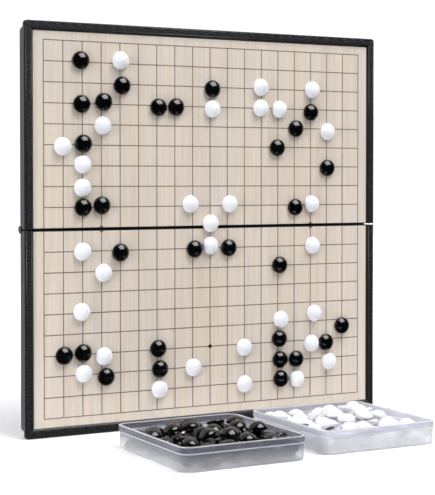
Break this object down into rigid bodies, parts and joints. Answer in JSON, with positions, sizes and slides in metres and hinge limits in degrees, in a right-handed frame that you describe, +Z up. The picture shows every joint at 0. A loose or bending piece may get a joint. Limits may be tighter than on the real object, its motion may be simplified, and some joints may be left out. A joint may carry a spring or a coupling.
{
  "type": "magnetic folding go set",
  "caption": "Folding go board with a steel playing face, hinged case halves, flip clasps, magnetic domed stones and two open stone trays.",
  "frame": {"origin": "on the surface that the set stands on, under the middle of its box", "axes": "+X along the board's width, to the player's right; +Y from the trays to the board; +Z up"},
  "size_m": [0.2878, 0.1682, 0.2868],
  "materials": {
    "case_plastic": "moulded black ABS, satin",
    "tinplate": "plain tinned sheet",
    "printed_film": "film printed with pale wood grain, semi-matt",
    "print_ink": "printed lines",
    "pin_steel": "drawn wire",
    "black_stone": "polished black",
    "white_stone": "polished white",
    "ferrite": "sintered ferrite, matt",
    "frosted_plastic": "translucent frosted polypropylene"
  },
  "bodies": {
    "lower_half": {"lower_case": "case_plastic", "lower_steel_sheet": "tinplate", "lower_playing_face": "printed_film", "lower_grid_print": "print_ink", "hinge_pin_left": "pin_steel", "hinge_pin_right": "pin_steel"},
    "upper_half": {"upper_case": "case_plastic", "upper_steel_sheet": "tinplate", "upper_playing_face": "printed_film", "upper_grid_print": "print_ink", "clasp_pin_left": "pin_steel", "clasp_pin_right": "pin_steel"},
    "clasp_left": {"clasp_left": "case_plastic"},
    "clasp_right": {"clasp_right": "case_plastic"},
    "upper_black_stones": {"upper_black_stones": "black_stone", "upper_black_magnets": "ferrite"},
    "upper_white_stones": {"upper_white_stones": "white_stone", "upper_white_magnets": "ferrite"},
    "lower_black_stones": {"lower_black_stones": "black_stone", "lower_black_magnets": "ferrite"},
    "lower_white_stones": {"lower_white_stones": "white_stone", "lower_white_magnets": "ferrite"},
    "black_tray": {"black_tray": "frosted_plastic", "black_tray_stones": "black_stone", "black_tray_magnets": "ferrite"},
    "white_tray": {"white_tray": "frosted_plastic", "white_tray_stones": "white_stone", "white_tray_magnets": "ferrite"}
  },
  "joints": [
    {"name": "board_fold", "type": "hinge", "parent": "lower_half", "child": "upper_half", "pos_m": [0, 0.08142, 0.1434], "axis": [-1, 0, 0], "range_deg": [0, 180]},
    {"name": "clasp_left_turn", "type": "hinge", "parent": "upper_half", "child": "clasp_left", "pos_m": [-0.07, 0.07908, 0.28545], "axis": [-1, 0, 0], "range_deg": [0, 180]},
    {"name": "clasp_right_turn", "type": "hinge", "parent": "upper_half", "child": "clasp_right", "pos_m": [0.07, 0.07908, 0.28545], "axis": [-1, 0, 0], "range_deg": [0, 180]},
    {"name": "upper_black_stones_lift", "type": "slide", "parent": "upper_half", "child": "upper_black_stones", "axis": [0, -1, 0], "range_m": [0, 0.03]},
    {"name": "upper_white_stones_lift", "type": "slide", "parent": "upper_half", "child": "upper_white_stones", "axis": [0, -1, 0], "range_m": [0, 0.03]},
    {"name": "lower_black_stones_lift", "type": "slide", "parent": "lower_half", "child": "lower_black_stones", "axis": [0, -1, 0], "range_m": [0, 0.03]},
    {"name": "lower_white_stones_lift", "type": "slide", "parent": "lower_half", "child": "lower_white_stones", "axis": [0, -1, 0], "range_m": [0, 0.03]},
    {"name": "black_tray_lift", "type": "slide", "parent": "lower_half", "child": "black_tray", "axis": [0, 0, 1], "range_m": [0, 0.12]},
    {"name": "white_tray_lift", "type": "slide", "parent": "lower_half", "child": "white_tray", "axis": [0, 0, 1], "range_m": [0, 0.12]}
  ]
}
